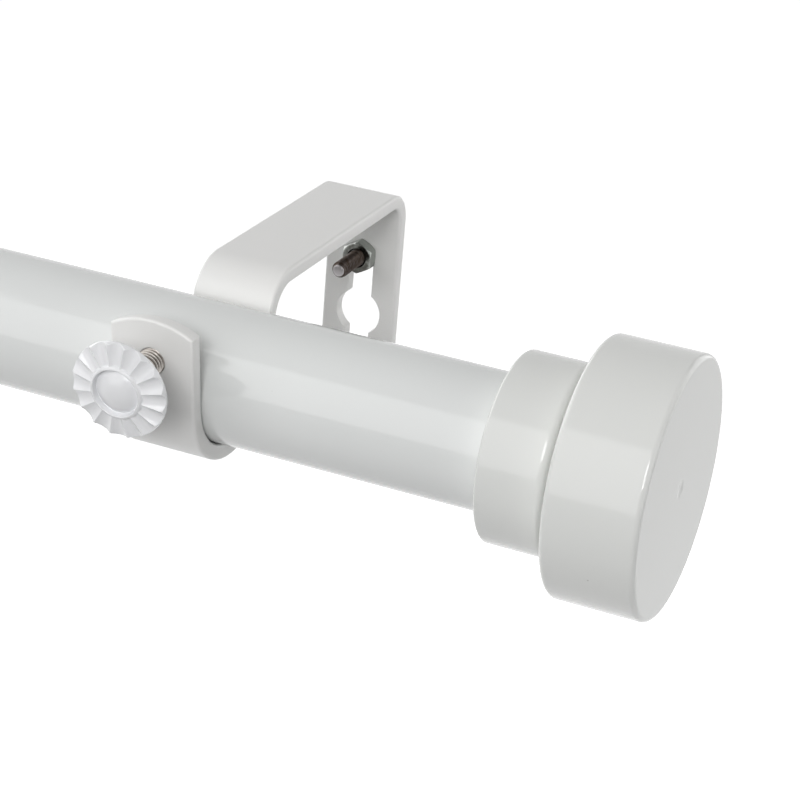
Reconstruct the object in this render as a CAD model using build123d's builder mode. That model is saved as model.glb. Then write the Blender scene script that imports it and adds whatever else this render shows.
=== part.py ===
from build123d import *
import os
from collections import namedtuple
from math import asin, cos, degrees, radians, sin, sqrt

os.makedirs("parts", exist_ok=True)

# Extendable curtain rod: two telescoping tubes with a finial at each end, lying in two bent-strip
# wall brackets, each with a thumb screw that clamps the tube. All sizes are in millimetres.
# X runs along the rod towards the end with the larger tube, -Y points into the room, +Z is up,
# and the origin is where the axis of the right wall bolt leaves the wall.

# Clearances
run_gap = 0.05  # radial, where a piece slides or turns in another
seat_gap = 0.05  # radial, where a piece is pushed into another and stays
side_gap = 0.3  # where pieces only lie beside each other

# Tubes
closed_length = 711.0
outer_tube_od = 25.4
outer_tube_wall = 0.9
inner_tube_od = 22.2
inner_tube_wall = 0.9
inner_end_gap = 28.0  # from the glide to the far end of the larger tube, with the rod closed
bush_lip = 2.0
bush_depth = 14.0
glide_collar = 4.0
glide_depth = 14.0
glide_wall = 1.8
glide_slit = 1.6

# Finials
collar_od = 35.0
collar_length = 12.3
collar_rear_edge = 0.6
collar_front_edge = 1.4
groove_width = 2.0
groove_depth = 2.0
socket_depth = 12.0
flange_thickness = 2.5
disc_od = 47.4
disc_thickness = 17.0
disc_edge = 1.0
disc_wall = 2.2
disc_ledge = 1.2
gate_radius = 1.7
gate_depth = 0.25

# Brackets, bent from one flat strip
rod_to_wall = 77.0
bracket_to_collar = 54.2  # free tube between a bracket and the finial's collar
bracket_to_mouth = 28.2  # free tube between the left bracket and the mouth of the larger tube
strip_width = 16.6
strip_thickness = 3.0
strip_edge = 0.6
arm_rise = 14.4  # top of the arm above the axis of the larger tube
front_bend = 5.8  # inside radii of the bends
rear_bend = 4.0
leg_length = 57.0
tab_lean = 6.7  # degrees
tab_length = 17.8  # from the foot of the tab to its crown
end_arch = 2.9  # rise of the arched end of the strip
keyhole_radius = 5.0
slot_width = 5.5
keyhole_drop = 13.3  # centre of the keyhole below the wall bolt

# Wall bolts and nuts
bolt_diameter = 3.5
bolt_drop = 1.2  # wall bolt below the axis of the larger tube
bolt_reach = 12.0  # free end of the bolt beyond the bracket
bolt_dome = 0.7
wood_thread = 4.0  # diameter of the end that goes into the wall
wall_reach = 18.0  # length of that end
wall_point = 4.5
hang_gap = 0.05  # between the bolt and the upper end of its slot
nut_flats = 6.35
nut_thickness = 2.9
nut_chamfer = 0.45

# Clamp screws
screw_diameter = 5.0
screw_height = 9.0  # screw axis above the foot of the tab
screw_tip_radius = 1.8
screw_tip_chamfer = 0.7
knob_clearance = 9.2  # thread showing between the tab and the knob of the right screw
knob_depth = 4.0
knob_rim_radius = 9.3
knob_rim = 1.3
knob_shoulder_radius = 8.8
knob_hub_radius = 4.2
knob_hub = 1.4
knob_socket = 2.6  # depth of the screw inside the knob
ring_radius = 5.1
ring_lip = 0.5
recess_depth = 0.9
dome_radius = 4.2
dome_rise = 1.1
flute_count = 16
flute_radius = 2.1
flute_depth = 1.15
flute_slope = 17.0  # degrees

# Places worked out from the sizes above
outer_radius = outer_tube_od / 2
outer_bore = outer_radius - outer_tube_wall
inner_radius = inner_tube_od / 2
inner_bore = inner_radius - inner_tube_wall
cradle_radius = outer_radius + side_gap
left_reach = socket_depth + bracket_to_collar + strip_width + bracket_to_mouth
outer_tube_length = closed_length - left_reach
inner_tube_length = closed_length - glide_collar - inner_end_gap
rod_y = -rod_to_wall
rod_z = bolt_drop
right_collar_x = strip_width / 2 + bracket_to_collar
right_end_x = right_collar_x + socket_depth
left_end_x = right_end_x - closed_length
left_collar_x = left_end_x + socket_depth
left_bracket_x = left_collar_x + bracket_to_collar + strip_width / 2
mouth_x = right_end_x - outer_tube_length
# The smaller tube lies on the floor of a cradle made for the larger one, so its bracket hangs higher.
left_lift = cradle_radius - inner_radius - side_gap

# One entry for each end: out is the way out along X, lift is the bracket's height above the right one,
# and tube_radius is the tube in its cradle.
RodEnd = namedtuple("RodEnd", "name out collar_x bracket_x lift tube_radius")
ends = [
    RodEnd("right", 1, right_collar_x, 0.0, 0.0, outer_radius),
    RodEnd("left", -1, left_collar_x, left_bracket_x, left_lift, inner_radius),
]

rod_axis = Axis((0, rod_y, rod_z), (1, 0, 0))
lean_cos = cos(radians(tab_lean))
lean_sin = sin(radians(tab_lean))
screw_direction = Vector(0, -lean_cos, -lean_sin)
tab_direction = Vector(0, -lean_sin, lean_cos)
bolt_radius = bolt_diameter / 2
screw_radius = screw_diameter / 2


def rod_section(start_x, out=1):
    """Lengthwise plane of the rod: local x runs along the rod from start_x, local y is the radius."""
    return Plane(origin=(start_x, rod_y, rod_z), x_dir=(out, 0, 0), z_dir=(0, -out, 0))


def cradle_centre(end):
    """Centre of a bracket's cradle, on the middle of its strip."""
    return Vector(end.bracket_x, rod_y, rod_z + end.lift)


def bolt_foot(end):
    """Where the axis of a wall bolt leaves the wall."""
    return Vector(end.bracket_x, 0, end.lift)


def screw_foot(end):
    """Where the axis of a clamp screw leaves the front face of the tab."""
    front = cradle_radius + strip_thickness
    return cradle_centre(end) + screw_direction * front + tab_direction * screw_height


def screw_section(end):
    """Lengthwise plane of a clamp screw: local x is the radius, local y runs out to the knob."""
    return Plane(
        origin=screw_foot(end), x_dir=(1, 0, 0), z_dir=Vector(1, 0, 0).cross(screw_direction)
    )


def screw_tip(end):
    """Height of the screw's tip along its axis, just clear of the tube that it clamps."""
    off_axis = screw_height + end.lift * lean_cos - screw_tip_radius
    along = end.lift * lean_sin + sqrt(end.tube_radius**2 - off_axis**2) + side_gap
    return along - cradle_radius - strip_thickness


def knob_back(end):
    """Height of the knob's back above the tab: both screws are equally long."""
    return knob_clearance + screw_tip(end) - screw_tip(ends[0])


def dome(radius, rise, top):
    """Arc of a spherical dome on the line x = 0, from the dome's edge up to its top."""
    ball = (radius**2 + rise**2) / (2 * rise)
    spread = degrees(asin(radius / ball))
    CenterArc((0, top - ball), ball, 90 - spread, spread)


# Larger tube
with BuildPart() as outer_tube:
    with BuildSketch(rod_section(mouth_x)):
        with Locations((outer_tube_length / 2, (outer_radius + outer_bore) / 2)):
            Rectangle(outer_tube_length, outer_tube_wall)
    revolve(axis=rod_axis)
outer_tube.part.label = "outer_tube"
export_step(outer_tube.part, "parts/outer_tube.step")

# Plastic bush in the mouth of the larger tube, where the smaller one slides
bush_bore = inner_radius + run_gap
with BuildPart() as mouth_bush:
    with BuildSketch(rod_section(mouth_x)):
        with BuildLine():
            Polyline(
                (bush_depth, bush_bore),
                (-bush_lip, bush_bore),
                (-bush_lip, outer_radius),
                (0, outer_radius),
                (0, outer_bore - seat_gap),
                (bush_depth, outer_bore - seat_gap),
                close=True,
            )
        make_face()
    revolve(axis=rod_axis)
    fillet(mouth_bush.edges().group_by(Axis.X)[0].sort_by(SortBy.LENGTH)[-1], bush_lip / 2)
mouth_bush.part.label = "mouth_bush"
export_step(mouth_bush.part, "parts/mouth_bush.step")

# Smaller tube
with BuildPart() as inner_tube:
    with BuildSketch(rod_section(left_end_x)):
        with Locations((inner_tube_length / 2, (inner_radius + inner_bore) / 2)):
            Rectangle(inner_tube_length, inner_tube_wall)
    revolve(axis=rod_axis)
inner_tube.part.label = "inner_tube"
export_step(inner_tube.part, "parts/inner_tube.step")

# Glide pushed into the hidden end of the smaller tube: a slit collar runs in the larger tube's bore
glide_x = left_end_x + inner_tube_length
glide_radius = inner_bore - seat_gap
with BuildPart() as glide:
    with BuildSketch(rod_section(glide_x)):
        with BuildLine():
            Polyline(
                (-glide_depth, glide_radius - glide_wall),
                (-glide_depth, glide_radius),
                (0, glide_radius),
                (0, outer_bore - run_gap),
                (glide_collar, outer_bore - run_gap),
                (glide_collar, glide_radius - glide_wall),
                close=True,
            )
        make_face()
    revolve(axis=rod_axis)
    with BuildSketch(Plane(origin=(glide_x + glide_collar, rod_y, rod_z), z_dir=(1, 0, 0))):
        Rectangle(glide_slit, outer_tube_od)
        Rectangle(outer_tube_od, glide_slit)
    extrude(amount=-glide_collar, mode=Mode.SUBTRACT)
glide.part.label = "glide"
export_step(glide.part, "parts/glide.step")

# Finials: a collar with the socket for the tube and a flange at its front, and a disc-shaped cap
# that closes over the flange
neck_radius = collar_od / 2 - groove_depth
disc_x = collar_length + groove_width
disc_front = disc_x + disc_thickness
disc_radius = disc_od / 2
flange_radius = disc_radius - disc_wall - seat_gap
socket_radius = outer_radius + seat_gap
for end in ends:
    out_along_rod = Axis((0, rod_y, rod_z), (end.out, 0, 0))

    with BuildPart() as finial_collar:
        with BuildSketch(rod_section(end.collar_x, end.out)):
            with BuildLine():
                Polyline(
                    (0, socket_radius),
                    (0, collar_od / 2),
                    (collar_length, collar_od / 2),
                    (collar_length, neck_radius),
                    (disc_x, neck_radius),
                    (disc_x, flange_radius),
                    (disc_x + flange_thickness, flange_radius),
                    (disc_x + flange_thickness, 0),
                    (socket_depth, 0),
                    (socket_depth, socket_radius),
                    close=True,
                )
            make_face()
        revolve(axis=rod_axis)
        collar_edges = finial_collar.edges().filter_by(
            lambda edge: edge.geom_type == GeomType.CIRCLE and abs(edge.radius - collar_od / 2) < 0.01
        )
        fillet(collar_edges.sort_by(out_along_rod)[0], collar_rear_edge)
        collar_edges = finial_collar.edges().filter_by(
            lambda edge: edge.geom_type == GeomType.CIRCLE and abs(edge.radius - collar_od / 2) < 0.01
        )
        fillet(collar_edges.sort_by(out_along_rod)[-1], collar_front_edge)
    finial_collar.part.label = f"{end.name}_finial_collar"
    export_step(finial_collar.part, f"parts/{end.name}_finial_collar.step")

    with BuildPart() as finial_cap:
        with BuildSketch(rod_section(end.collar_x, end.out)):
            with BuildLine():
                Polyline(
                    (disc_x, flange_radius + seat_gap),
                    (disc_x, disc_radius),
                    (disc_front, disc_radius),
                    (disc_front, gate_radius),
                    (disc_front - gate_depth, 0),
                    (disc_front - disc_wall, 0),
                    (disc_front - disc_wall, flange_radius - disc_ledge),
                    (disc_x + flange_thickness, flange_radius - disc_ledge),
                    (disc_x + flange_thickness, flange_radius + seat_gap),
                    close=True,
                )
            make_face()
        revolve(axis=rod_axis)
        rims = finial_cap.edges().filter_by(
            lambda edge: edge.geom_type == GeomType.CIRCLE and abs(edge.radius - disc_radius) < 0.01
        )
        fillet(rims, disc_edge)
    finial_cap.part.label = f"{end.name}_finial_cap"
    export_step(finial_cap.part, f"parts/{end.name}_finial_cap.step")

# Sleeve that makes the smaller tube up to the socket of its finial
with BuildPart() as finial_sleeve:
    with BuildSketch(Plane(origin=(left_end_x, rod_y, rod_z), z_dir=(1, 0, 0))):
        Circle(outer_radius)
        Circle(inner_radius + seat_gap, mode=Mode.SUBTRACT)
    extrude(amount=socket_depth)
finial_sleeve.part.label = "left_finial_sleeve"
export_step(finial_sleeve.part, "parts/left_finial_sleeve.step")

# Brackets. The line follows the face of the strip that carries the rod: down the tab, round under the
# tube, up behind it, along the top of the arm and down the wall; the metal lies to the right of it.
front_outer = front_bend + strip_thickness
rear_outer = rear_bend + strip_thickness
half_width = strip_width / 2
arch_radius = (half_width**2 + end_arch**2) / (2 * end_arch)
slot_top = bolt_radius + hang_gap
slot_spacing = 2 * (keyhole_drop + slot_top - slot_width / 2)
for end in ends:
    centre = cradle_centre(end)
    foot = bolt_foot(end)
    tab_plane = Plane(origin=screw_foot(end), x_dir=(1, 0, 0), z_dir=screw_direction)
    wall_plane = Plane(origin=foot, x_dir=(1, 0, 0), z_dir=(0, -1, 0))
    crown = tab_length - screw_height
    leg_end = bolt_drop + arm_rise - leg_length

    with BuildPart() as bracket:
        with BuildSketch(Plane(origin=centre, x_dir=(0, 1, 0), z_dir=(1, 0, 0))):
            with BuildLine() as face_line:
                tab_foot = (-cradle_radius * lean_cos, -cradle_radius * lean_sin)
                tab_top = (tab_foot[0] - tab_length * lean_sin, tab_foot[1] + tab_length * lean_cos)
                Line(tab_top, tab_foot)
                CenterArc((0, 0), cradle_radius, 180 + tab_lean, 180 - tab_lean)
                Line((cradle_radius, 0), (cradle_radius, arm_rise - front_outer))
                CenterArc(
                    (cradle_radius + front_outer, arm_rise - front_outer), front_outer, 180, -90
                )
                Line((cradle_radius + front_outer, arm_rise), (rod_to_wall - rear_outer, arm_rise))
                CenterArc((rod_to_wall - rear_outer, arm_rise - rear_outer), rear_outer, 90, -90)
                Line((rod_to_wall, arm_rise - rear_outer), (rod_to_wall, arm_rise - leg_length))
                offset(amount=strip_thickness, side=Side.RIGHT)
            make_face()
        extrude(amount=half_width, both=True)
        # Arched ends of the strip
        with BuildSketch(tab_plane):
            with Locations((0, crown)):
                Rectangle(2 * strip_width, 2 * end_arch)
            with Locations((0, crown - arch_radius)):
                Circle(arch_radius, mode=Mode.SUBTRACT)
        extrude(amount=-2 * strip_thickness, both=True, mode=Mode.SUBTRACT)
        with BuildSketch(wall_plane):
            with Locations((0, leg_end)):
                Rectangle(2 * strip_width, 2 * end_arch)
            with Locations((0, leg_end + arch_radius)):
                Circle(arch_radius, mode=Mode.SUBTRACT)
        extrude(amount=2 * strip_thickness, mode=Mode.SUBTRACT)
        sides = bracket.faces().filter_by(Axis.X)
        arches = bracket.faces().filter_by(
            lambda face: face.geom_type == GeomType.CYLINDER and abs(face.radius - arch_radius) < 0.01
        )
        fillet((sides + arches).edges(), strip_edge)
        # Keyhole with a slot above and below, and the threaded hole of the tab
        with BuildSketch(wall_plane):
            with Locations((0, -keyhole_drop)):
                Circle(keyhole_radius)
                SlotCenterToCenter(slot_spacing, slot_width, rotation=90)
        extrude(amount=2 * strip_thickness, mode=Mode.SUBTRACT)
        with BuildSketch(tab_plane):
            Circle(screw_radius + run_gap)
        extrude(amount=-2 * strip_thickness, mode=Mode.SUBTRACT)
    bracket.part.label = f"{end.name}_bracket"
    export_step(bracket.part, f"parts/{end.name}_bracket.step")

# Wall bolts, with a wood thread towards the wall and a domed free end, and their nuts
for end in ends:
    foot = bolt_foot(end)
    bolt_axis = Axis(foot, (0, -1, 0))
    free_end = strip_thickness + bolt_reach

    with BuildPart() as wall_bolt:
        with BuildSketch(Plane(origin=foot, x_dir=(1, 0, 0), z_dir=(0, 0, -1))):
            with BuildLine():
                Polyline(
                    (0, free_end),
                    (0, -wall_reach),
                    (wood_thread / 2, wall_point - wall_reach),
                    (wood_thread / 2, 0),
                    (bolt_radius, 0),
                    (bolt_radius, free_end - bolt_dome),
                )
                dome(bolt_radius, bolt_dome, free_end)
            make_face()
        revolve(axis=bolt_axis)
    wall_bolt.part.label = f"{end.name}_wall_bolt"
    export_step(wall_bolt.part, f"parts/{end.name}_wall_bolt.step")

    nut_corner = nut_flats / sqrt(3)
    nut_plane = Plane(
        origin=foot + Vector(0, -strip_thickness, 0), x_dir=(1, 0, 0), z_dir=(0, -1, 0)
    )
    with BuildPart() as wall_nut:
        with BuildSketch(nut_plane):
            RegularPolygon(nut_flats / 2, 6, major_radius=False, rotation=30)
        extrude(amount=nut_thickness)
        with BuildSketch(Plane(origin=nut_plane.origin, x_dir=(1, 0, 0), z_dir=(0, 0, -1))):
            with BuildLine():
                Polyline(
                    (0, 0),
                    (nut_flats / 2, 0),
                    (nut_corner, nut_chamfer),
                    (nut_corner, nut_thickness - nut_chamfer),
                    (nut_flats / 2, nut_thickness),
                    (0, nut_thickness),
                    close=True,
                )
            make_face()
        revolve(axis=bolt_axis, mode=Mode.INTERSECT)
        with BuildSketch(nut_plane):
            Circle(bolt_radius + seat_gap)
        extrude(amount=nut_thickness, mode=Mode.SUBTRACT)
    wall_nut.part.label = f"{end.name}_wall_nut"
    export_step(wall_nut.part, f"parts/{end.name}_wall_nut.step")

# Clamp screws and their fluted knobs
for end in ends:
    screw_axis = Axis(screw_foot(end), screw_direction)
    tip = screw_tip(end)
    back = knob_back(end)
    front = back + knob_depth
    screw_end = back + knob_socket

    with BuildPart() as clamp_screw:
        with BuildSketch(screw_section(end)):
            with BuildLine():
                Polyline(
                    (0, tip),
                    (screw_tip_radius, tip),
                    (screw_radius, tip + screw_tip_chamfer),
                    (screw_radius, screw_end),
                    (0, screw_end),
                    close=True,
                )
            make_face()
        revolve(axis=screw_axis)
    clamp_screw.part.label = f"{end.name}_clamp_screw"
    export_step(clamp_screw.part, f"parts/{end.name}_clamp_screw.step")

    shaft_bore = screw_radius + run_gap
    dome_top = front - recess_depth + dome_rise
    with BuildPart(Plane(origin=screw_foot(end), x_dir=(1, 0, 0), z_dir=screw_direction)) as knob:
        with BuildSketch(screw_section(end)):
            with BuildLine():
                Polyline(
                    (0, screw_end + side_gap),
                    (shaft_bore, screw_end + side_gap),
                    (shaft_bore, back - knob_hub),
                    (knob_hub_radius, back - knob_hub),
                    (knob_hub_radius, back),
                    (knob_rim_radius, back),
                    (knob_rim_radius, back + knob_rim),
                    (knob_shoulder_radius, front - flute_depth),
                    (ring_radius, front),
                    (ring_radius - ring_lip, front),
                    (dome_radius, front - recess_depth),
                )
                dome(dome_radius, dome_rise, dome_top)
                Line((0, dome_top), (0, screw_end + side_gap))
            make_face()
        revolve(axis=screw_axis)
        flute_middle = (ring_radius + knob_rim_radius) / 2
        flute_height = front + flute_radius - flute_depth
        with Locations((0, 0, flute_height)):
            with PolarLocations(flute_middle, flute_count):
                Cylinder(
                    flute_radius,
                    knob_rim_radius,
                    rotation=(0, 90 + flute_slope, 0),
                    mode=Mode.SUBTRACT,
                )
    knob.part.label = f"{end.name}_clamp_knob"
    export_step(knob.part, f"parts/{end.name}_clamp_knob.step")
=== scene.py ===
"""Looks of the extendable curtain rod: painted tubes, disc finials, coated wall brackets, fluted
thumb screws, threaded wall bolts and their nuts.

Shapes are worked out in millimetres, in the frame of the CAD part: X along the rod towards its
larger tube, +Y into the wall, +Z up, from the point where the right wall bolt leaves the wall. They
become metres only where a mesh is made.
"""

import bmesh
import bpy
import numpy as np
from mathutils import Matrix, Vector
from mathutils.geometry import delaunay_2d_cdt


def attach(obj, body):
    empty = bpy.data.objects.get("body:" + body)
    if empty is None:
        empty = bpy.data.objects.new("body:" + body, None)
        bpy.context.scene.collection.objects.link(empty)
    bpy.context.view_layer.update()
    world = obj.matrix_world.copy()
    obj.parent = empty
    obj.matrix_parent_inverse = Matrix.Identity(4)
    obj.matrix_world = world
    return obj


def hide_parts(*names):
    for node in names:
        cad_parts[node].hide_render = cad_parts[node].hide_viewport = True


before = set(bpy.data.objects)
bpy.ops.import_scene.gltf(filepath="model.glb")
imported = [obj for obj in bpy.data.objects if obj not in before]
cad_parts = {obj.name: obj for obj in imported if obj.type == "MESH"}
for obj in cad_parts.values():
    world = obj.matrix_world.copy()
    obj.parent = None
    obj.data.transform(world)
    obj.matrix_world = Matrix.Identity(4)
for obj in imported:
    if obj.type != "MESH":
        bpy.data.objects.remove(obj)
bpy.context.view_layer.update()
MM = 0.001

# Sizes of the part, in millimetres
ROD_Y, ROD_Z = -77.0, 1.2
OUTER_TUBE = (-525.5, 74.5, 12.7, 11.8)  # start and end along X, outer and inner radius
INNER_TUBE = (-636.5, 42.5, 11.1, 10.2)
CRADLE, STRIP = 13.0, 3.0  # radius of a bracket's cradle, thickness of its strip
LEAN = np.radians(6.7)  # of a bracket's tab
SCREW_HEIGHT = 9.0  # of the clamp screw over the middle of the rod, along the tab
SCREW_HOLE = 2.55  # radius of the holes in tab and knob that the clamp screw goes through or into
SCREW_OUT = np.array([0.0, -np.cos(LEAN), -np.sin(LEAN)])  # from the tab out to the knob
TAB_UP = np.array([0.0, -np.sin(LEAN), np.cos(LEAN)])
ALONG = np.array([1.0, 0.0, 0.0])
TO_ROOM = np.array([0.0, -1.0, 0.0])
ROD_START = np.array([0.0, ROD_Y, ROD_Z])

# Both ends of the rod: its body, the way out along X, the finial's rear face, the middle and the
# lift of the bracket, the heights of the clamp screw's tip and of the knob's seat above the tab
ENDS = {
    "right": {"rod": "outer_rod", "out": 1, "collar": 62.5, "bracket": 0.0, "lift": 0.0,
              "tip": -5.2375, "back": 9.2},
    "left": {"rod": "inner_rod", "out": -1, "collar": -624.5, "bracket": -562.0, "lift": 1.6,
             "tip": -8.7338, "back": 5.7037},
}


def rod_middle(end):
    """The middle of the rod at the bracket of that end."""
    return np.array((end["bracket"], ROD_Y, ROD_Z + end["lift"]))


# Meshes

ARC_STEPS = 7  # straight pieces in each rounded corner


def smoothstep(low, high, x):
    """0 below low, 1 above high, and an S-curve between them."""
    t = np.clip((x - low) / (high - low), 0, 1)
    return t * t * (3 - 2 * t)


def soft_min(a, b, width):
    """The lower of two heights, with the crease between them rounded over about width."""
    t = np.clip(0.5 + 0.5 * (b - a) / width, 0, 1)
    return b + (a - b) * t - width * t * (1 - t)


def rounded_line(corners, closed=True, hold=0.05):
    """Corners (x, y, radius) joined by straight sides, each corner swapped for an arc that touches
    both of its sides. A point at the distance hold before and after each arc keeps the sides flat
    when they are shaded."""
    points = []
    for i, (x, y, radius) in enumerate(corners):
        if radius == 0 or (not closed and i in (0, len(corners) - 1)):
            points.append((x, y))
            continue
        corner = np.array((x, y))
        before, after = (np.array(corners[(i + k) % len(corners)][:2]) - corner for k in (-1, 1))
        before, after = before / np.linalg.norm(before), after / np.linalg.norm(after)
        half = np.arccos(np.clip(before @ after, -1, 1)) / 2
        centre = corner + (before + after) / np.linalg.norm(before + after) * radius / np.sin(half)
        touch = radius / np.tan(half)
        first, last = corner + before * touch - centre, corner + after * touch - centre
        sweep = np.pi - 2 * half
        k = np.linspace(0, 1, ARC_STEPS + 1)[:, None]
        arc = centre + (first * np.sin((1 - k) * sweep) + last * np.sin(k * sweep)) / np.sin(sweep)
        points.append(corner + before * (touch + hold))
        points.extend(arc)
        points.append(corner + after * (touch + hold))
    return np.array(points)


def closed_mesh(mesh, sharp):
    """The mesh with its seams and poles closed and its faces turned outwards, shaded smooth except
    at edges sharper than an angle in degrees."""
    work = bmesh.new()
    work.from_mesh(mesh)
    bmesh.ops.remove_doubles(work, verts=work.verts, dist=2e-7)
    bmesh.ops.recalc_face_normals(work, faces=work.faces)
    work.to_mesh(mesh)
    work.free()
    mesh.shade_smooth()
    mesh.set_sharp_from_angle(angle=np.radians(sharp))
    return mesh


def quads_between(lower, upper):
    """Faces between rows of point numbers and the rows that follow them, all the way round."""
    quads = (lower, np.roll(lower, -1, axis=1), np.roll(upper, -1, axis=1), upper)
    return np.stack(quads, axis=-1).reshape(-1, 4).tolist()


def mesh_of(name, grid, closed_rows=False, values=None, sharp=32):
    """Mesh of a grid of points (rows, columns, 3) in millimetres whose columns run round and meet.
    Rows that shrink to a point become poles. values go into the attribute "crest", for shaders."""
    rows, columns = grid.shape[:2]
    index = np.arange(rows * columns).reshape(rows, columns)
    upper = np.roll(index, -1, axis=0) if closed_rows else index[1:]
    lower = index if closed_rows else index[:-1]
    mesh = bpy.data.meshes.new(name)
    mesh.from_pydata((grid.reshape(-1, 3) * MM).tolist(), [], quads_between(lower, upper))
    if values is not None:
        crest = mesh.attributes.new("crest", "FLOAT", "POINT")
        values = np.broadcast_to(values, (rows, columns)).astype(np.float32)
        crest.data.foreach_set("value", values.ravel())
    return closed_mesh(mesh, sharp)


def all_round(turns):
    """A row of angles, evenly spaced all the way round."""
    return np.linspace(0, 2 * np.pi, turns, endpoint=False)[None, :]


def polar(along, radius, start, direction, side, turns):
    """Points at heights along an axis, at radii from it, all the way round: start +
    along * direction + radius * (cos * side + sin * (direction x side)). along and radius are
    (rows, 1) or (rows, turns), where turns is the number of points in a row."""
    angle = all_round(turns)[..., None]
    across = np.cos(angle) * side + np.sin(angle) * np.cross(direction, side)
    along, radius = np.broadcast_arrays(along, radius)
    return start + along[..., None] * direction + radius[..., None] * across


def turned(name, corners, start, direction, closed=True, turns=160, hold=0.05):
    """Surface that a rounded line (distance along the axis, radius) sweeps round the axis."""
    line = rounded_line(corners, closed, hold)
    side = np.array((0.0, 0.0, 1.0))
    grid = polar(line[:, :1], line[:, 1:], start, direction, side, turns)
    return mesh_of(name, grid, closed_rows=closed)


def place(name, mesh, body, material, node):
    """A finished piece: its object stays at the origin, rides on its body and stands for a node."""
    piece = bpy.data.objects.new(name, mesh)
    bpy.context.scene.collection.objects.link(piece)
    mesh.materials.append(material)
    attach(piece, body)
    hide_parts(node)


# Finishes


def node_group(name, inputs, outputs):
    """An empty shader node group with named inputs and outputs, and its input and output nodes."""
    tree = bpy.data.node_groups.new(name, "ShaderNodeTree")
    for socket, kind, value in inputs:
        made = tree.interface.new_socket(socket, in_out="INPUT", socket_type=kind)
        if value is not None:
            made.default_value = value
    for socket, kind in outputs:
        tree.interface.new_socket(socket, in_out="OUTPUT", socket_type=kind)
    return tree, tree.nodes.new("NodeGroupInput").outputs, tree.nodes.new("NodeGroupOutput").inputs


def add(tree, kind, inputs=None, **settings):
    """A node with its settings, and with values or links in its inputs, by name or number."""
    node = tree.nodes.new(kind)
    for key, value in settings.items():
        setattr(node, key, value)
    for key, value in (inputs or {}).items():
        if isinstance(value, bpy.types.NodeSocket):
            tree.links.new(value, node.inputs[key])
        else:
            node.inputs[key].default_value = value
    return node


def math(tree, operation, *values, clamp=False):
    """The result of a Math node."""
    return add(
        tree, "ShaderNodeMath", dict(enumerate(values)), operation=operation, use_clamp=clamp
    ).outputs[0]


def mixed(tree, share, first, second, blend="MIX"):
    """The colour that a Mix node makes of two, with a share of the second."""
    sockets = {0: share, 6: first, 7: second}
    return add(tree, "ShaderNodeMix", sockets, data_type="RGBA", blend_type=blend).outputs[2]


def noise(tree, vector, scale, detail=2.0, roughness=0.5):
    """The value of a Noise Texture node."""
    sockets = {"Vector": vector, "Scale": scale, "Detail": detail, "Roughness": roughness}
    return add(tree, "ShaderNodeTexNoise", sockets).outputs[0]


FLOAT, COLOUR, VECTOR = "NodeSocketFloat", "NodeSocketColor", "NodeSocketVector"


def paint_film():
    """Height of a paint or powder film: pebbles of one size on slow waves of another."""
    tree, given, made = node_group(
        "paint_film",
        [("Vector", VECTOR, None), ("Pebble Scale", FLOAT, 900.0), ("Wave Scale", FLOAT, 160.0),
         ("Pebble Share", FLOAT, 0.5)],
        [("Height", FLOAT)],
    )
    pebbles = noise(tree, given["Vector"], given["Pebble Scale"], 1.5, 0.45)
    waves = noise(tree, given["Vector"], given["Wave Scale"], 1.0, 0.4)
    share = given["Pebble Share"]
    rest = math(tree, "SUBTRACT", 1.0, share)
    pebbles, waves = math(tree, "MULTIPLY", pebbles, share), math(tree, "MULTIPLY", waves, rest)
    tree.links.new(math(tree, "ADD", pebbles, waves), made["Height"])
    return tree


def tone_drift():
    """A colour that drifts over the surface, a little lighter and darker, and towards a tint."""
    tree, given, made = node_group(
        "tone_drift",
        [("Vector", VECTOR, None), ("Color", COLOUR, (0.8, 0.8, 0.8, 1)), ("Scale", FLOAT, 40.0),
         ("Drift", FLOAT, 0.02), ("Tint", COLOUR, (0.9, 0.88, 0.82, 1)),
         ("Tint Share", FLOAT, 0.1)],
        [("Color", COLOUR)],
    )
    level = noise(tree, given["Vector"], given["Scale"], 3.0)
    swing = math(tree, "MULTIPLY", math(tree, "SUBTRACT", level, 0.5), given["Drift"])
    gain = math(tree, "ADD", 1.0, math(tree, "MULTIPLY", swing, 2.0))
    grey = add(tree, "ShaderNodeCombineColor", {0: gain, 1: gain, 2: gain}).outputs[0]
    lighter = mixed(tree, 1.0, given["Color"], grey, "MULTIPLY")
    patch = noise(tree, given["Vector"], math(tree, "MULTIPLY", given["Scale"], 0.37), 2.0)
    patch = math(tree, "MULTIPLY", math(tree, "SUBTRACT", patch, 0.42), 4.0, clamp=True)
    patch = math(tree, "MULTIPLY", patch, given["Tint Share"])
    tree.links.new(mixed(tree, patch, lighter, given["Tint"]), made["Color"])
    return tree


def specks():
    """Mask of a few scattered specks: a cell whose random number is under the share holds one, at
    its middle."""
    tree, given, made = node_group(
        "specks",
        [("Vector", VECTOR, None), ("Scale", FLOAT, 400.0), ("Share", FLOAT, 0.04),
         ("Size", FLOAT, 0.12)],
        [("Mask", FLOAT)],
    )
    cells = add(tree, "ShaderNodeTexVoronoi", {"Vector": given["Vector"], "Scale": given["Scale"]})
    near = math(tree, "SUBTRACT", given["Size"], cells.outputs["Distance"])
    near = math(tree, "MULTIPLY", near, 14.0, clamp=True)
    chosen = add(tree, "ShaderNodeSeparateColor", {0: cells.outputs["Color"]}).outputs[0]
    chosen = math(tree, "LESS_THAN", chosen, given["Share"])
    tree.links.new(math(tree, "MULTIPLY", near, chosen), made["Mask"])
    return tree


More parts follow.
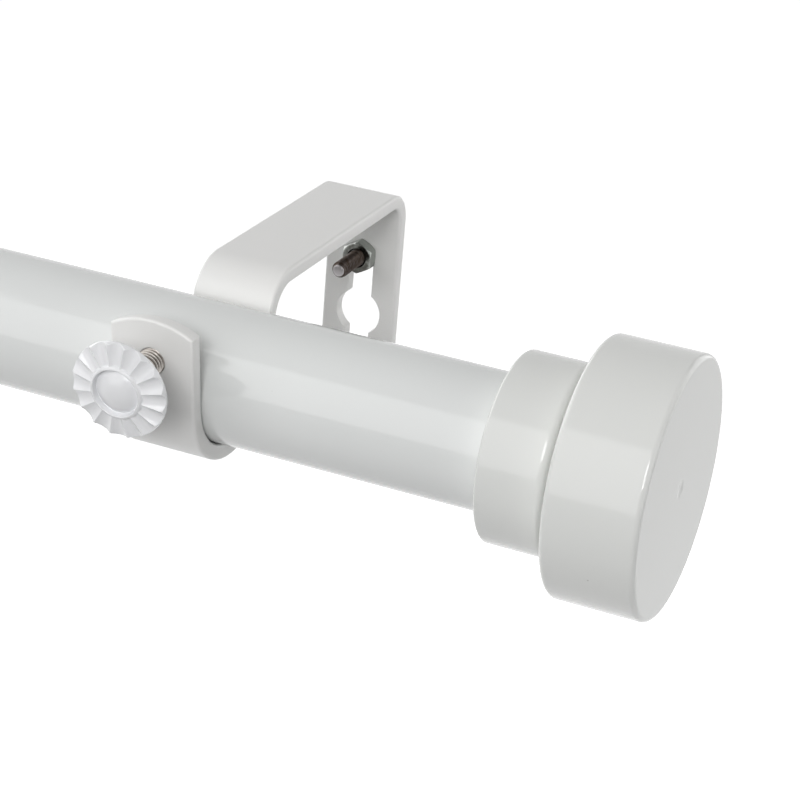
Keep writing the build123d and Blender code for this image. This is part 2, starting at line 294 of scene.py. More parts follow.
def rubbed_gloss():
    """Roughness of a handled surface: a base value, with smears stretched along one direction."""
    tree, given, made = node_group(
        "rubbed_gloss",
        [("Vector", VECTOR, None), ("Roughness", FLOAT, 0.2), ("Smear Scale", FLOAT, 90.0),
         ("Amount", FLOAT, 0.05)],
        [("Roughness", FLOAT)],
    )
    smear = noise(tree, given["Vector"], given["Smear Scale"], 4.0, 0.6)
    smear = math(tree, "MULTIPLY", math(tree, "SUBTRACT", smear, 0.5), given["Amount"])
    value = math(tree, "ADD", given["Roughness"], math(tree, "MULTIPLY", smear, 2.0), clamp=True)
    tree.links.new(value, made["Roughness"])
    return tree


FILM, DRIFT, SPECKS, GLOSS = paint_film(), tone_drift(), specks(), rubbed_gloss()


def use(tree, group, inputs):
    """The output of a shared group placed in a material, with this material's own values."""
    return add(tree, "ShaderNodeGroup", inputs, node_tree=group).outputs[0]


def spotted(tree, where, tone, dirt, scale, share, size):
    """The tone with specks of half-covering dirt on it."""
    mask = use(tree, SPECKS, {"Vector": where, "Scale": scale, "Share": share, "Size": size})
    return mixed(tree, math(tree, "MULTIPLY", mask, 0.5), tone, (*dirt, 1))


def new_material(name):
    """A material with only its Principled shader, its output and the object's own coordinates."""
    material = bpy.data.materials.new(name)
    material.use_nodes = True
    tree = material.node_tree
    tree.nodes.clear()
    shader = tree.nodes.new("ShaderNodeBsdfPrincipled")
    output = tree.nodes.new("ShaderNodeOutputMaterial")
    tree.links.new(shader.outputs[0], output.inputs[0])
    where = tree.nodes.new("ShaderNodeTexCoord").outputs["Object"]
    return material, tree, shader, where


def coated(name, colour, tint, roughness, film, depth, speck_share=0.03, stretch=(1, 1, 1)):
    """Paint, powder coat or moulded plastic: a drifting tone, a film with pebbles and waves, smears
    that change the gloss, and a few specks. film is (pebble scale, wave scale, pebble share), and
    depth is how high it stands, in metres."""
    material, tree, shader, where = new_material(name)
    tone = use(tree, DRIFT, {"Vector": where, "Color": (*colour, 1), "Scale": 45.0, "Drift": 0.012,
                             "Tint": (*tint, 1), "Tint Share": 0.35})
    tone = spotted(tree, where, tone, (0.25, 0.23, 0.2), 420.0, speck_share, 0.1)
    tree.links.new(tone, shader.inputs["Base Color"])
    along = add(tree, "ShaderNodeMapping", {"Vector": where, "Scale": stretch}).outputs[0]
    gloss = use(tree, GLOSS, {"Vector": along, "Roughness": roughness, "Amount": 0.25 * roughness})
    tree.links.new(gloss, shader.inputs["Roughness"])
    pebbles, waves, share = film
    height = use(tree, FILM, {"Vector": where, "Pebble Scale": pebbles, "Wave Scale": waves,
                              "Pebble Share": share})
    bump = add(tree, "ShaderNodeBump", {"Height": height, "Distance": depth, "Strength": 1.0})
    tree.links.new(bump.outputs[0], shader.inputs["Normal"])
    return material


def threaded_metal(name, crest, root, roughness, tint):
    """Bare or plated metal: darker where the attribute crest is low, which is in the roots of its
    threads, and on the nut in its grime and painted shade, with a drifting tone, fine rolling marks
    and specks of dirt."""
    material, tree, shader, where = new_material(name)
    shader.inputs["Metallic"].default_value = 1.0
    height = add(tree, "ShaderNodeAttribute", attribute_name="crest").outputs["Fac"]
    rise = add(tree, "ShaderNodeMapRange", {0: height, 1: 0.15, 2: 0.85}).outputs[0]
    grain = math(tree, "SUBTRACT", noise(tree, where, 1500.0, 3.0), 0.5)
    rise = math(tree, "ADD", rise, math(tree, "MULTIPLY", grain, 0.7), clamp=True)
    tone = mixed(tree, rise, (*root, 1), (*crest, 1))
    tone = use(tree, DRIFT, {"Vector": where, "Color": tone, "Scale": 300.0, "Drift": 0.08,
                             "Tint": (*tint, 1), "Tint Share": 0.25})
    tone = spotted(tree, where, tone, (0.05, 0.04, 0.035), 1400.0, 0.2, 0.2)
    tree.links.new(tone, shader.inputs["Base Color"])
    gloss = use(tree, GLOSS, {"Vector": where, "Roughness": roughness, "Smear Scale": 500.0,
                              "Amount": 0.3 * roughness})
    tree.links.new(gloss, shader.inputs["Roughness"])
    marks = use(tree, FILM, {"Vector": where, "Pebble Scale": 4000.0, "Wave Scale": 900.0,
                             "Pebble Share": 0.4})
    bump = add(tree, "ShaderNodeBump", {"Height": marks, "Distance": 0.00001, "Strength": 0.6})
    tree.links.new(bump.outputs[0], shader.inputs["Normal"])
    return material


# Colour, tint, roughness, film and its depth
TUBE_PAINT = coated("tube_paint", (0.775, 0.79, 0.782), (0.765, 0.785, 0.77), 0.085,
                    (700, 140, 0.3), 0.000004, stretch=(0.2, 1, 1))
BRACKET_COAT = coated("bracket_coat", (0.85, 0.848, 0.835), (0.835, 0.828, 0.805), 0.33,
                      (1300, 380, 0.75), 0.000009, speck_share=0.008)
FINIAL_PLASTIC = coated("finial_plastic", (0.76, 0.77, 0.75), (0.765, 0.768, 0.745), 0.11,
                        (500, 90, 0.2), 0.000003, speck_share=0.01)
KNOB_PAINT = coated("knob_paint", (0.84, 0.845, 0.86), (0.82, 0.825, 0.84), 0.19,
                    (900, 300, 0.5), 0.00002, speck_share=0.1)
BUSH_PLASTIC = coated("bush_plastic", (0.72, 0.72, 0.70), (0.70, 0.69, 0.66), 0.45,
                      (1600, 300, 0.6), 0.00001)
# Colour of the crests and of the roots, roughness, tint
SCREW_STEEL = threaded_metal("screw_steel", (0.50, 0.48, 0.455), (0.045, 0.035, 0.03), 0.36,
                             (0.40, 0.35, 0.30))
# On the nut, the root colour also paints its shade in the bore, near the faces and underneath
NUT_ZINC = threaded_metal("nut_zinc", (0.43, 0.45, 0.43), (0.035, 0.03, 0.027), 0.19,
                          (0.28, 0.305, 0.27))
BOLT_BRONZE = threaded_metal("bolt_bronze", (0.30, 0.29, 0.295), (0.026, 0.017, 0.012), 0.4,
                             (0.09, 0.07, 0.055))


# Tubes, with the bush in the larger one's mouth and the sleeve that fills the left finial's socket.
# Corners of turned lines are (distance along the axis, radius, how far the corner is rounded).

MOUTH, TUBE_RADIUS = OUTER_TUBE[0], OUTER_TUBE[2]
BUSH_BORE, BUSH_BODY = 11.15, 11.75  # radii of its hole and of the part that sits in the tube
BUSH_LIP, BUSH_REACH = 2.0, 14.0  # lengths outside and inside the mouth
SLEEVE_LENGTH = 12.0


def tube(start, end, outer, inner, edge=0.2):
    """Corners of a plain tube's wall, with rolled edges."""
    return [(start, outer, edge), (end, outer, edge), (end, inner, edge), (start, inner, edge)]


place("outer_tube_painted", turned("outer_tube", tube(*OUTER_TUBE), ROD_START, ALONG),
      "outer_rod", TUBE_PAINT, "outer_tube")
place("inner_tube_painted", turned("inner_tube", tube(*INNER_TUBE), ROD_START, ALONG),
      "inner_rod", TUBE_PAINT, "inner_tube")
bush = [
    (MOUTH - BUSH_LIP, BUSH_BORE, 0.4), (MOUTH - BUSH_LIP, TUBE_RADIUS, 0.9),
    (MOUTH, TUBE_RADIUS, 0.08), (MOUTH, BUSH_BODY, 0.0),
    (MOUTH + BUSH_REACH, BUSH_BODY, 0.15), (MOUTH + BUSH_REACH, BUSH_BORE, 0.15),
]
place("mouth_bush_moulded", turned("mouth_bush", bush, ROD_START, ALONG, hold=0.02),
      "outer_rod", BUSH_PLASTIC, "mouth_bush")
sleeve = tube(INNER_TUBE[0], INNER_TUBE[0] + SLEEVE_LENGTH, TUBE_RADIUS, BUSH_BORE, 0.15)
place("finial_sleeve_moulded", turned("finial_sleeve", sleeve, ROD_START, ALONG),
      "inner_rod", BUSH_PLASTIC, "left_finial_sleeve")

# Finials: the collar that slips over the tube, and the disc-shaped cap with a faint gate mark.
# Places are distances from the collar's rear face.

SOCKET_RADIUS, SOCKET_END = 12.75, 12.0  # that the tube goes into
COLLAR_RADIUS, COLLAR_END = 17.5, 12.3
NECK_RADIUS = 15.5  # in the dark groove between collar and cap
PLUG_RADIUS, PLUG_END = 21.45, 16.8  # the collar's flange in the cap
CAP_REAR, CAP_FRONT, CAP_RADIUS = 14.3, 31.3, 23.7
RECESS_RADIUS, HOLLOW_RADIUS, HOLLOW_END = 21.5, 20.25, 29.1  # inside the cap
GATE_RADIUS, GATE_DEPTH = 1.7, 0.25

collar = [
    (0, SOCKET_RADIUS, 0.3), (0, COLLAR_RADIUS, 0.6), (COLLAR_END, COLLAR_RADIUS, 1.4),
    (COLLAR_END, NECK_RADIUS, 0.2), (CAP_REAR, NECK_RADIUS, 0.2), (CAP_REAR, PLUG_RADIUS, 0.2),
    (PLUG_END, PLUG_RADIUS, 0.2), (PLUG_END, 0, 0), (SOCKET_END, 0, 0),
    (SOCKET_END, SOCKET_RADIUS, 0.3),
]
cap = [
    (CAP_REAR, RECESS_RADIUS, 0.2), (CAP_REAR, CAP_RADIUS, 1.0), (CAP_FRONT, CAP_RADIUS, 1.0),
    (CAP_FRONT, GATE_RADIUS, 0.5), (CAP_FRONT - GATE_DEPTH, 0, 0), (HOLLOW_END, 0, 0),
    (HOLLOW_END, HOLLOW_RADIUS, 1.0), (PLUG_END, HOLLOW_RADIUS, 0.2),
    (PLUG_END, RECESS_RADIUS, 0.2),
]
for side, end in ENDS.items():
    start = ROD_START + ALONG * end["collar"]
    for part, corners in (("collar", collar), ("cap", cap)):
        # The line is opened between its two points on the axis, where the surface has its poles
        before, after = (i for i, corner in enumerate(corners) if corner[1] == 0)
        opened = corners[after:] + corners[:before + 1]
        mesh = turned(f"finial_{part}", opened, start, ALONG * end["out"], closed=False, turns=192)
        place(f"{side}_finial_{part}_moulded", mesh, end["rod"], FINIAL_PLASTIC,
              f"{side}_finial_{part}")

# Wall bolts: a machine thread with a domed end on the room's side, a wood thread on the wall's side

THREAD_FLAT = 0.12  # share of a flank's rise that is cut off flat, at the root and at the crest


def thread_wave(along, angle, pitch):
    """Height of a thread's flank, from 0 in the root to 1 on the crest: a wave along the axis that
    moves on by one pitch for each turn, cut flat at both ends and half rounded between them."""
    phase = along / pitch - angle / (2 * np.pi)
    ramp = 1 - np.abs(2 * (phase - np.floor(phase)) - 1)
    flank = np.clip((ramp - THREAD_FLAT) / (1 - 2 * THREAD_FLAT), 0, 1)
    return 0.5 * (smoothstep(0, 1, flank) + flank)


def threaded_rod(name, along, core, crest, limit, start, direction, pitch, rub):
    """Rod with a helical thread: radius = core + (crest - core) * thread wave, held under limit,
    and closed at both ends. core, crest and limit are arrays over along. The crests are rubbed
    bright by the share rub, and an end that limit turns down by over a quarter is bare."""
    turns = 72
    angle = all_round(turns)
    wave = thread_wave(along[:, None], angle, pitch)
    radius = np.minimum(core[:, None] + (crest - core)[:, None] * wave, limit[:, None])
    bare = smoothstep(0.24, 0.34, 1 - limit / np.maximum(crest, 1e-9))[:, None]
    wave = np.maximum(rub * wave, bare)
    along = np.concatenate((along[:1], along, along[-1:]))[:, None]
    radius = np.concatenate((radius[:1] * 0, radius, radius[-1:] * 0))
    wave = np.concatenate((wave[:1], wave, wave[-1:]))
    grid = polar(along, radius, start, direction, ALONG, turns)
    return mesh_of(name, grid, values=wave, sharp=75)


NUT_FLATS, NUT_THICKNESS, NUT_CHAMFER = 6.35, 2.9, 0.45
NUT_BORE, NUT_MOUTH, NUT_MOUTH_DEPTH = 1.8, 2.12, 0.35  # radii of the bore and its bevelled mouth
NUT_EDGE = 70  # power that sets how sharp the edges between the flats are


def nut(start, direction):
    """Hexagon nut with a corner up: the flats are a soft maximum of six cosines, cut by a cone at
    each face, with a bevelled bore. Its colour is darker in the bore and near the faces, as grime
    and painted shade, and darker underneath, as painted shade."""
    turns = 144
    half, corner = NUT_FLATS / 2, NUT_FLATS / np.sqrt(3)
    angle = all_round(turns)
    facing = [np.maximum(np.cos(angle - np.radians(60 * k)), 0) ** NUT_EDGE for k in range(6)]
    hexagon = half / np.sum(facing, axis=0) ** (1 / NUT_EDGE)
    # Rows: the bore, its mouth, the face, the chamfer and the flats, then the same back to the bore
    chamfer = NUT_CHAMFER * np.linspace(0, 1, 9)
    lower = np.concatenate(([NUT_MOUTH_DEPTH, 0, 0], chamfer, [NUT_CHAMFER + 0.05]))
    height = np.concatenate((lower, NUT_THICKNESS - lower[::-1]))[:, None]
    from_face = np.minimum(height, NUT_THICKNESS - height)
    cone = half - 0.06 + (corner - half + 0.06) * np.minimum(1, from_face / NUT_CHAMFER)
    radius = np.minimum(hexagon, cone)
    radius[[0, -1]], radius[[1, -2]], radius[[2, -3]] = NUT_BORE, NUT_MOUTH, half - 0.35
    grid = polar(height, radius, start, direction, ALONG, turns)
    # Darker in the bore and near the faces: grime and painted shade
    clean_and_lit = np.where(radius < half - 0.3, 0.25, 0.45 + 0.55 * np.minimum(1, from_face / 0.4))
    # Darker on the lower facets: painted shade
    clean_and_lit = clean_and_lit * (1 - 0.7 * smoothstep(0.1, 0.8, -np.sin(angle)))
    return mesh_of("wall_nut", grid, closed_rows=True, values=clean_and_lit, sharp=28)


WOOD_LENGTH, WOOD_POINT, WOOD_RADIUS, WOOD_PITCH = 18.0, 4.5, 2.0, 1.8
WOOD_CORE = 0.66  # of the crest's radius
BOLT_LENGTH, BOLT_RADIUS, BOLT_CORE, BOLT_PITCH = 15.0, 1.75, 1.38, 0.7
BOLT_CHAMFER, BOLT_DOME, BOLT_DOME_RADIUS = 14.1, 14.65, 1.25  # where chamfer and dome start
BOLT_RUB = 0.27

for side, end in ENDS.items():
    foot = np.array((end["bracket"], 0.0, end["lift"]))
    out = np.linspace(-WOOD_LENGTH, BOLT_LENGTH, 700)
    wood = out < 0
    point = np.clip((out + WOOD_LENGTH) / WOOD_POINT, 0, 1)
    crest = np.where(wood, WOOD_RADIUS * point, BOLT_RADIUS)
    core = np.where(wood, crest * WOOD_CORE, BOLT_CORE)
    chamfer = np.interp(out, (BOLT_CHAMFER, BOLT_DOME), (BOLT_RADIUS, BOLT_DOME_RADIUS))
    along_dome = np.clip((out - BOLT_DOME) / (BOLT_LENGTH - BOLT_DOME), 0, 1)
    dome = BOLT_DOME_RADIUS * np.sqrt(1 - along_dome**2)
    limit = np.where(out > BOLT_DOME, dome, np.where(out > BOLT_CHAMFER, chamfer, WOOD_RADIUS))
    pitch = np.where(wood, WOOD_PITCH, BOLT_PITCH)[:, None]
    mesh = threaded_rod("wall_bolt", out, core, crest, limit, foot, TO_ROOM, pitch, BOLT_RUB)
    place(f"{side}_wall_bolt_threaded", mesh, f"{side}_support", BOLT_BRONZE,
          f"{side}_wall_bolt")
    mesh = nut(foot + TO_ROOM * STRIP, TO_ROOM)
    place(f"{side}_wall_nut_plated", mesh, f"{side}_support", NUT_ZINC,
          f"{side}_wall_nut")

# Clamp screws and their fluted knobs. A knob's heights are taken along the screw, from its seat.

SCREW_RADIUS, SCREW_THREAD, SCREW_PITCH, SCREW_CHAMFER = 2.5, 0.46, 0.8, 0.7
SCREW_IN_KNOB, SCREW_RUB = 2.6, 0.8
HUB_RADIUS, HUB_BACK, BORE_END = 4.2, -1.4, 1.2
BACK_HEIGHT, BACK_RADIUS = 0.1, 6.6  # where the back starts to cone out to the rim
RIM_RADIUS, RIM_BACK, RIM_MIDDLE, RIM_TOP = 9.2, 1.55, 2.1, 2.95
RIM_LEAN, RIM_BEVEL = 0.16, 0.12  # of the rim's side, inwards, and of its top edge
RING_RADIUS, RING_INSIDE, RING_TOP = 5.0, 4.5, 3.74
RECESS, DOME_RADIUS, DOME_TOP = RING_TOP - 1.05, 4.2, 4.25
FLUTES, SCOOP, SCOOP_TILT = 16, 1.95, np.radians(15)  # number, radius and tilt of the flutes
SCOOP_MIDDLE, SCOOP_DEPTH = 7.2, 1.1  # how deep under the ring a scoop is at that radius


def knob(foot, back):
    """Fluted knob: a turned line of hub, coned back, rim, ring, recess and dome, whose front is
    lowered to the height of sixteen tilted scoops. A scoop is a cylinder along a radius: its floor
    lies at axis height - sqrt(radius^2 - offset^2) / cos(tilt), and a steep wall keeps the ring
    whole."""
    rise = DOME_TOP - RECESS
    ball = (DOME_RADIUS**2 + rise**2) / (2 * rise)
    dome_r = np.linspace(DOME_RADIUS - 0.05, 0, 26)
    dome_h = DOME_TOP - ball + np.sqrt(ball**2 - dome_r**2)
    rear = rounded_line([(BORE_END, 0, 0), (BORE_END, SCREW_HOLE, 0.1),
                         (HUB_BACK, SCREW_HOLE, 0.15), (HUB_BACK, HUB_RADIUS, 0.25),
                         (BACK_HEIGHT, HUB_RADIUS, 0.15), (BACK_HEIGHT, BACK_RADIUS, 0.5),
                         (RIM_BACK, RIM_RADIUS, 0.25), (RIM_MIDDLE, RIM_RADIUS, 0)], closed=False)
    side_h = np.linspace(RIM_MIDDLE, RIM_TOP - RIM_BEVEL, 12)
    side_r = RIM_RADIUS - np.linspace(0, RIM_LEAN, 12)
    # From the rim in to the ring, with closer rows for the steep wall there
    cone_r = np.linspace(side_r[-1] - RIM_BEVEL, 5.5, 36)
    cone_r = np.concatenate((cone_r, np.linspace(5.46, RING_RADIUS + 0.02, 10)))
    cone_h = RING_TOP - (RING_TOP - RIM_TOP) * (cone_r - RING_RADIUS) / (RIM_RADIUS - RING_RADIUS)
    ring = rounded_line([(RING_TOP, RING_RADIUS, 0), (RING_TOP, RING_INSIDE, 0.14),
                         (RECESS, DOME_RADIUS + 0.05, 0.1), (RECESS, DOME_RADIUS, 0)],
                        closed=False, hold=0.02)
    height = np.concatenate((rear[:, 0], side_h[1:], cone_h, ring[:, 0], dome_h))[:, None]
    radius = np.concatenate((rear[:, 1], side_r[1:], cone_r, ring[:, 1], dome_r))[:, None]
    turns = FLUTES * 20
    angle = all_round(turns)
    off = ((angle * FLUTES / (2 * np.pi) + 0.5) % 1 - 0.5) * 2 * np.pi / FLUTES
    sideways, along = radius * np.sin(off), radius * np.cos(off)
    axis = RING_TOP - SCOOP_DEPTH + SCOOP - (along - SCOOP_MIDDLE) * np.tan(SCOOP_TILT)
    bottom = axis - np.sqrt(np.maximum(SCOOP**2 - sideways**2, 0)) / np.cos(SCOOP_TILT)
    wall = RING_TOP - 1.8 * np.maximum(radius - RING_RADIUS + 0.12, 0)
    front = (radius > 4.7) & (height > 1.6)  # all outside the middle of the ring, above the back
    lowered = np.where(front, soft_min(height, np.maximum(bottom, wall), 0.24), height)
    grid = polar(np.minimum(lowered, height) + back, radius, foot, SCREW_OUT, ALONG, turns)
    return mesh_of("clamp_knob", grid, sharp=60)


for side, end in ENDS.items():
    foot = rod_middle(end) + SCREW_OUT * (CRADLE + STRIP) + TAB_UP * SCREW_HEIGHT
    out = np.linspace(end["tip"], end["back"] + SCREW_IN_KNOB, 380)
    crest = np.full_like(out, SCREW_RADIUS)
    limit = np.minimum(SCREW_RADIUS, SCREW_RADIUS - SCREW_CHAMFER + out - end["tip"])
    mesh = threaded_rod("clamp_screw", out, crest - SCREW_THREAD, crest, limit, foot, SCREW_OUT,
                        SCREW_PITCH, SCREW_RUB)
    place(f"{side}_clamp_screw_threaded", mesh, f"{side}_clamp", SCREW_STEEL,
          f"{side}_clamp_screw")
    place(f"{side}_clamp_knob_fluted", knob(foot, end["back"]), f"{side}_knob",
          KNOB_PAINT, f"{side}_clamp_knob")

# Brackets: a flat strip with arched ends, a keyhole and a threaded hole, bent along a line of
# straights and arcs. Its face towards the rod lies on that line.

STRIP_HALF, STRIP_EDGE, HOLE_EDGE = 8.3, 0.6, 0.22  # half width, radii of the rounded edges
HOLD = 0.12  # from a rounded edge to the outline of the flat face
END_MARGIN = 4.5  # length at each end that has no cuts across, for the arch
FOOT_RISE, CROWN_RISE = 2.9, 2.4  # of the arched ends
CROWN_START = 0.5  # place of the tab's crown along the strip
FOOT_ARCH, CROWN_ARCH = ((STRIP_HALF**2 + rise**2) / (2 * rise) for rise in (FOOT_RISE, CROWN_RISE))
# How much shorter the rear face is at the crown: in the middle, the change across, and how far
# along the strip that reaches
CROWN_CUT, CROWN_SKEW, CROWN_REACH = 0.55, -0.06, 6.0
TAB_LENGTH, ARM_RISE, LEG_LENGTH = 17.8, 14.4, 57.0
FRONT_BEND, REAR_BEND = 8.8, 7.0  # radii of the face towards the rod
QUARTER = np.pi / 2
STRIP_LINE = (  # length and turn to the left, from the crown of the tab to the end of the leg
    (TAB_LENGTH, 0.0),
    (CRADLE * (np.pi - LEAN), np.pi - LEAN),
    (ARM_RISE - FRONT_BEND, 0.0),
    (FRONT_BEND * QUARTER, -QUARTER),
    (-ROD_Y - REAR_BEND - CRADLE - FRONT_BEND, 0.0),
    (REAR_BEND * QUARTER, -QUARTER),
    (LEG_LENGTH - REAR_BEND, 0.0),
)
STRIP_LENGTH = sum(length for length, turn in STRIP_LINE)
TAB_HOLE = TAB_LENGTH - SCREW_HEIGHT  # place along the strip
KEYHOLE_DROP = 13.3  # of the keyhole's circle under the wall bolt
KEYHOLE = STRIP_LENGTH - LEG_LENGTH + KEYHOLE_DROP + ROD_Z + ARM_RISE
KEYHOLE_RADIUS, SLOT_HALF, SLOT_REACH = 5.0, 2.75, 12.35  # reach: to the middle of a slot's end


def bent(flat, depth, centre):
    """Points of the flat strip (distance along it, place across it) at a depth from the face
    towards the rod, once it is bent: heading grows along each arc by distance / radius, and the
    depth lies square to the heading, on its right. The crown of the tab is cut askew, shorter on
    the face towards the rod."""
    askew = (CROWN_CUT + CROWN_SKEW * flat[:, 1]) * (1 - depth / STRIP)
    s = flat[:, 0] + askew * np.clip(1 - flat[:, 0] / CROWN_REACH, 0, 1)
    heading = LEAN - QUARTER
    tab_foot = -CRADLE * np.array((np.cos(LEAN), np.sin(LEAN)))
    point = tab_foot + TAB_LENGTH * np.array((-np.sin(LEAN), np.cos(LEAN)))
    spot, angle, start = np.zeros_like(flat), np.zeros_like(s), 0.0
    for length, turn in STRIP_LINE:
        step = np.append(np.clip(s - start, 0, length), length)
        if turn:
            radius = length / turn
            head = heading + step / radius
            chord = (np.sin(head) - np.sin(heading), np.cos(heading) - np.cos(head))
            run = radius * np.stack(chord, axis=1)
        else:
            head = np.full_like(step, heading)
            run = step[:, None] * (np.cos(heading), np.sin(heading))
        past = s >= start
        spot[past], angle[past] = (point + run[:-1])[past], head[:-1][past]
        point, heading, start = point + run[-1], head[-1], start + length
    spot = spot + depth * np.stack((np.sin(angle), -np.cos(angle)), axis=1)
    return centre + np.column_stack((flat[:, 1], spot))


def bend_knots():
    """Places along the strip where it is cut across: every 3 degrees of an arc and every 4 mm of a
    straight, away from the arched ends."""
    knots, start = [], 0.0
    for length, turn in STRIP_LINE:
        count = int(np.ceil(abs(np.degrees(turn)) / 3 if turn else length / 4))
        knots.append(start + length * np.arange(count) / count)
        start += length
    knots = np.concatenate(knots)
    return knots[(knots > END_MARGIN) & (knots < STRIP_LENGTH - END_MARGIN)]


KNOTS = bend_knots()


def strip_outline(inset):
    """Outline of the flat strip, moved into the metal: two straight sides and two arched ends."""
    half = STRIP_HALF - inset
    across = np.linspace(-half, half, 27)
    crown = CROWN_START + CROWN_ARCH - np.sqrt((CROWN_ARCH - inset) ** 2 - across**2)
    foot = STRIP_LENGTH - FOOT_ARCH + np.sqrt((FOOT_ARCH - inset) ** 2 - across**2)
    crown, foot = np.stack((crown, across), axis=1), np.stack((foot, across), axis=1)
    right = np.stack((KNOTS, np.full_like(KNOTS, half)), axis=1)
    return np.concatenate((crown, right, foot[::-1], right[::-1] * (1, -1)))


def keyhole_outline(inset):
    """Circle with a round-ended slot above and below, moved into the metal."""
    slot, circle = SLOT_HALF + inset, KEYHOLE_RADIUS + inset
    meet = np.arctan2(slot, np.sqrt(circle**2 - slot**2))
    turn = np.linspace(0, QUARTER, 13)
    cap = np.stack((-SLOT_REACH - slot * np.cos(turn), slot * np.sin(turn)), axis=1)
    side = np.linspace(-SLOT_REACH, -circle * np.cos(meet), 5)[1:-1]
    side = np.stack((side, np.full_like(side, slot)), axis=1)
    sweep = np.linspace(np.pi - meet, meet, 31)
    bow = circle * np.stack((np.cos(sweep), np.sin(sweep)), axis=1)
    upper = np.concatenate((cap, side))
    half = np.concatenate((upper, bow, upper[::-1] * (-1, 1)))
    return np.concatenate((half, half[-2:0:-1] * (1, -1))) + (KEYHOLE, 0)


def tab_hole_outline(inset):
    """Circle of the tab's threaded hole, moved into the metal."""
    angle = all_round(48)[0]
    return (SCREW_HOLE + inset) * np.stack((np.cos(angle), np.sin(angle)), axis=1) + (TAB_HOLE, 0)


def hole_gap(flat):
    """Distance from a point of the flat strip to the nearest hole, below 0 inside it."""
    s, across = flat[:, 0] - KEYHOLE, flat[:, 1]
    slots = np.hypot(np.maximum(np.abs(s) - SLOT_REACH, 0), across) - SLOT_HALF
    circle = np.hypot(s, across) - KEYHOLE_RADIUS
    tab_hole = np.hypot(flat[:, 0] - TAB_HOLE, across) - SCREW_HOLE
    return np.minimum(np.minimum(slots, circle), tab_hole)


def bracket(centre):
    """Both faces of the strip, triangulated between its outlines on a grid that follows the bends,
    and a wall round each outline whose two edges are rounded: inset = edge * (1 - sin), depth =
    edge * (1 - cos)."""
    points, faces = [], []
    outlines = (
        (strip_outline, STRIP_EDGE), (keyhole_outline, HOLE_EDGE), (tab_hole_outline, HOLE_EDGE)
    )
    for outline, edge in outlines:
        turn = np.linspace(0, QUARTER, 6)
        inset = np.concatenate(([edge + HOLD], edge * (1 - np.sin(turn))))
        depth = np.concatenate(([0], edge * (1 - np.cos(turn))))
        inset, depth = np.append(inset, inset[::-1]), np.append(depth, STRIP - depth[::-1])
        grid = np.stack([bent(outline(i), d, centre) for i, d in zip(inset, depth)])
        index = np.arange(grid[..., 0].size).reshape(grid.shape[:2]) + sum(map(len, points))
        points.append(grid.reshape(-1, 3))
        faces.extend(quads_between(index[:-1], index[1:]))
    loops = [outline(edge + HOLD) for outline, edge in outlines]
    inner = np.stack(np.meshgrid(KNOTS, np.linspace(-6.2, 6.2, 5)), axis=-1).reshape(-1, 2)
    flat = np.concatenate(loops + [inner[hole_gap(inner) > 1.0]])
    rims, start = [], 0
    for loop in loops:
        index = np.arange(start, start + len(loop))
        rims.extend(np.stack((index, np.roll(index, -1)), axis=1).tolist())
        start += len(loop)
    made = delaunay_2d_cdt([Vector(v) for v in flat.tolist()], rims, [], 0, 1e-6)
    flat = np.array([tuple(v) for v in made[0]])
    cells = np.array(made[2])
    # The outline is convex, so only the cells inside the holes go: those well inside, and the
    # slivers between points of one hole's rim
    gap, rim = hole_gap(flat[cells].mean(axis=1)), HOLE_EDGE + HOLD
    on_rim = (hole_gap(flat) < rim + 0.01)[cells].all(axis=1)
    cells = cells[~((gap < rim - 0.03) | (on_rim & (gap < rim)))]
    for depth in (0.0, STRIP):
        faces.extend((cells + sum(map(len, points))).tolist())
        points.append(bent(flat, depth, centre))
    mesh = bpy.data.meshes.new("bracket")
    mesh.from_pydata((np.concatenate(points) * MM).tolist(), [], faces)
    return closed_mesh(mesh, 35)


for side, end in ENDS.items():
    place(f"{side}_bracket_coated", bracket(rod_middle(end)), f"{side}_support",
          BRACKET_COAT, f"{side}_bracket")

# The glide, hidden in the tube, keeps its CAD mesh
glide_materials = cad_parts["glide"].data.materials
glide_materials.clear()
glide_materials.append(BUSH_PLASTIC)

# Stage: a pale floor, soft lamps and the camera, in metres

WHITE = (1, 1, 1, 1)
FLOOR_REACH, FLOOR_HEIGHT, FLOOR_GREY = 14.0, -1.2, 0.7


def seen_ray(tree):
    """1 for rays from the camera, mirror rays and rays through glass, 0 for those that light a
    surface. As a strength it makes a backdrop white to look at and leaves the light to lamps."""
    path = tree.nodes.new("ShaderNodeLightPath").outputs
    seen = math(tree, "MAXIMUM", path["Is Camera Ray"], path["Is Glossy Ray"])
    return math(tree, "MAXIMUM", seen, path["Is Transmission Ray"])


square = np.array(((-1, -1), (1, -1), (1, 1), (-1, 1))) * FLOOR_REACH
floor_mesh = bpy.data.meshes.new("floor")
floor_mesh.from_pydata([(x, y, FLOOR_HEIGHT) for x, y in square.tolist()], [], [(0, 1, 2, 3)])
pale = bpy.data.materials.new("pale_floor")
pale.use_nodes = True
tree = pale.node_tree
tree.nodes.clear()
plain = add(tree, "ShaderNodeBsdfDiffuse", {"Color": (FLOOR_GREY, FLOOR_GREY, FLOOR_GREY, 1)})
glow = add(tree, "ShaderNodeEmission", {"Color": WHITE, "Strength": seen_ray(tree)})
both = add(tree, "ShaderNodeAddShader", {0: plain.outputs[0], 1: glow.outputs[0]})
add(tree, "ShaderNodeOutputMaterial", {0: both.outputs[0]})
floor_mesh.materials.append(pale)
floor = bpy.data.objects.new("floor", floor_mesh)
bpy.context.scene.collection.objects.link(floor)

world = bpy.data.worlds.new("studio")
bpy.context.scene.world = world
world.use_nodes = True
tree = world.node_tree
tree.nodes.clear()
light = add(tree, "ShaderNodeBackground", {"Color": WHITE, "Strength": seen_ray(tree)})
add(tree, "ShaderNodeOutputWorld", {0: light.outputs[0]})


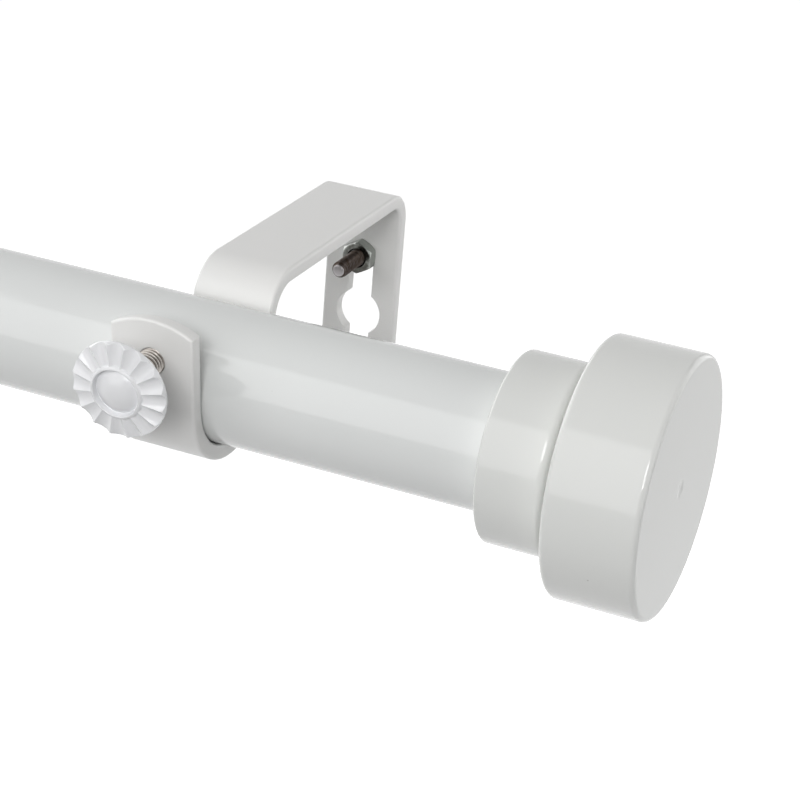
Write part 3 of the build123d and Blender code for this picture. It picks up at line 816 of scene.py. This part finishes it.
def stand(name, data, aim, azimuth, elevation, distance, roll=0.0, rise=0.0):
    """A lamp or camera that looks at a point from a direction (radians: azimuth from -Y towards +X,
    then elevation), rolled about its line of sight and raised along its own up."""
    back = np.array((np.sin(azimuth) * np.cos(elevation), -np.cos(azimuth) * np.cos(elevation),
                     np.sin(elevation)))
    level = np.array((np.cos(azimuth), np.sin(azimuth), 0.0))
    right = np.cos(roll) * level + np.sin(roll) * np.cross(back, level)
    up = np.cross(back, right)
    thing = bpy.data.objects.new(name, data)
    bpy.context.scene.collection.objects.link(thing)
    axes = Matrix(np.stack((right, up, back), axis=1).tolist()).to_4x4()
    thing.matrix_world = Matrix.Translation(aim + back * distance + up * rise) @ axes
    return thing


LIT_POINT = np.array((0.0413, -0.077, 0.0012))  # the right end of the rod
LAMPS = (  # name, azimuth and elevation in degrees, distance, width, height, power in watts
    ("key", -24, 23, 1.3, 1.1, 1.3, 6.9),
    ("front", 12, 29, 1.3, 0.6, 0.5, 7.3),
    ("left", -80, 36, 2.6, 1.8, 1.6, 15.5),
    ("right", 86, 8, 1.3, 0.9, 0.9, 4.2),
    ("back", 130, 38, 1.3, 1.0, 1.0, 2.6),
    ("rear_right", 148, 6, 1.6, 1.5, 1.2, 6.2),
    ("rear_left", 250, 12, 2.6, 2.8, 2.2, 29.0),
)
for name, azimuth, elevation, distance, width, height, power in LAMPS:
    lamp = bpy.data.lights.new(name, "AREA")
    lamp.shape = "RECTANGLE"
    lamp.size, lamp.size_y, lamp.energy = width, height, power
    box = stand(name, lamp, LIT_POINT, np.radians(azimuth), np.radians(elevation), distance)
    box.visible_camera = False

# The camera was fitted to the outlines in the photograph
SEEN_POINT = np.array((41.316, ROD_Y, ROD_Z)) * MM
AZIMUTH, ELEVATION, ROLL = 0.38, 0.42146, 0.08488
DISTANCE, RISE = 411.64 * MM, 3.17835 * MM
FOCAL_PIXELS, PICTURE_PIXELS = 2307.1, 800

camera = bpy.data.cameras.new("camera")
camera.sensor_width = 36.0
camera.lens = FOCAL_PIXELS / PICTURE_PIXELS * camera.sensor_width
camera.clip_start, camera.clip_end = 0.01, 60
view = stand("camera", camera, SEEN_POINT, AZIMUTH, ELEVATION, DISTANCE, ROLL, RISE)
bpy.context.scene.camera = view
bpy.context.scene.view_settings.view_transform = "Standard"
